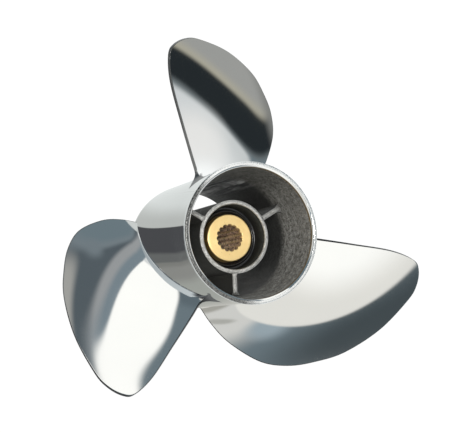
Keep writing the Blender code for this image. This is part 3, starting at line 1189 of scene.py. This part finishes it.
def build_bands():
    """A disc just under the table that shows only in the steel, as painted reflection: the soft bands
    along the barrel's side.
    """
    disc = make_disc("table_bands", *BAND_DISC)
    material, tree, shader = reflection_material("table_bands")
    x, y, _ = separate(tree, object_place(tree))
    bearing = (-y).math("ARCTAN2", -x) * RADIAN + 180.0
    out = (x * x + y * y).math("SQRT") - BAND_MIDDLE
    colour = as_light(BAND_BASE)
    for start, full, lean, tone in BANDS:
        share = ramp_between(tree, bearing - out * lean, start, full)
        colour = mix_colour(tree, share, colour, as_light(tone))
    shown = ramp_between(tree, bearing, *BANDS_IN) * ramp_between(tree, bearing, *BANDS_OUT)
    feed(tree, shader, "Emission Color", colour)
    feed(tree, shader, "Alpha", shown)
    disc.data.materials.append(material)
    show_in_steel_only(disc)


def build_core():
    """A lit tube that shows only in the steel and from outside: what the blades mirror of the barrel."""
    rings = turned_rings(((CORE_RADIUS, 0.0), (CORE_RADIUS, CORE_AFT)), CORE_STEPS)
    core = finish_piece(stack_rings("barrel_core", rings, closed=False), CORE_SHARP)
    material, tree, shader = reflection_material("core_light")
    _, _, z = separate(tree, object_place(tree))
    aftward = ramp_between(tree, z - FORWARD, 0.0, CORE_AFT)
    colour = mix_colour(tree, aftward, as_light(CORE_TONES[0]), as_light(CORE_TONES[1]))
    from_inside = make_node(tree, "ShaderNodeNewGeometry", {}, output="Backfacing")
    feed(tree, shader, "Emission Color", colour)
    feed(tree, shader, "Alpha", 1.0 - from_inside)
    core.data.materials.append(material)
    show_in_steel_only(core)


def build_lamp():
    """Soft lamp above and to the left, which lights the far wall of the barrel's mouth."""
    data = bpy.data.lights.new("mouth_lamp", "AREA")
    data.shape = "DISK"
    data.size = LAMP_SIZE
    data.energy = LAMP_POWER
    data.color = LAMP_COLOUR
    lamp = bpy.data.objects.new("mouth_lamp", data)
    bpy.context.scene.collection.objects.link(lamp)
    bearing = math.radians(LAMP_BEARING)
    elevation = math.radians(LAMP_ELEVATION)
    level = math.cos(elevation)
    direction = Vector((math.cos(bearing) * level, math.sin(bearing) * level, math.sin(elevation)))
    lamp.location = direction * LAMP_DISTANCE
    lamp.rotation_euler = direction.to_track_quat("Z", "Y").to_euler()


def build_camera():
    data = bpy.data.cameras.new("camera")
    data.sensor_width = CAMERA_SENSOR
    data.lens = CAMERA_LENS
    data.clip_end = CAMERA_REACH
    camera = bpy.data.objects.new("camera", data)
    bpy.context.scene.collection.objects.link(camera)
    camera.location = CAMERA_PLACE
    camera.rotation_euler = [math.radians(turn) for turn in CAMERA_TURN]
    bpy.context.scene.camera = camera


def build_part():
    steel = polished_steel("polished_steel")
    blade_steel = polished_steel("blade_steel", foot=True)
    mouth = mouth_cast()
    dark = dark_cast()
    worn_lit = worn_lit_cast()
    ground = ground_steel()
    edge = edge_steel()
    brass = sleeve_brass()
    rubber = bush_rubber()

    blade = make_blade("blade_face_1")
    blade.data.materials.append(blade_steel)
    blade.data.materials.append(edge)
    blades = [blade]
    for index in range(1, BLADES):
        blades.append(copy_turned(blade, "blade_face_%d" % (index + 1), index / BLADES))
    for index, piece in enumerate(blades):
        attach(piece, "root")
        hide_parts("blade_%d" % (index + 1))
        piece.visible_glossy = False

    barrel = make_turned("barrel_skin", BARREL_PROFILE, BARREL_CORNER_STEPS, BARREL_STEPS, TURNED_SHARP)
    dress(barrel, (steel, ground, mouth), barrel_finish)
    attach(barrel, "root")
    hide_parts("exhaust_barrel")
    barrel.visible_glossy = False

    hub = make_turned("hub_tube", HUB_PROFILE, CORNER_STEPS, HUB_STEPS, TURNED_SHARP)
    dress(hub, (dark, worn_lit), hub_finish)
    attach(hub, "root")
    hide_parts("inner_hub")

    rib = make_rib("rib_web_1")
    dress(rib, (dark, worn_lit), rib_finish)
    ribs = [rib]
    for index in range(1, BLADES):
        ribs.append(copy_turned(rib, "rib_web_%d" % (index + 1), index / BLADES))
    for index, piece in enumerate(ribs):
        settle(piece, math.radians(90.0 + RIB_ANGLE))
        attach(piece, "root")
        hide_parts("rib_%d" % (index + 1))

    bush = make_turned("bush_rubber_ring", BUSH_PROFILE, CORNER_STEPS, BUSH_STEPS, SOFT_SHARP)
    bush.data.materials.append(rubber)
    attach(bush, "root")
    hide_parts("rubber_bush")

    sleeve = make_sleeve()
    sleeve.data.materials.append(brass)
    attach(sleeve, "root")
    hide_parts("splined_sleeve")


build_part()
build_floor()
build_bands()
build_core()
build_world()
build_lamp()
build_camera()
bpy.context.scene.view_settings.view_transform = "Standard"
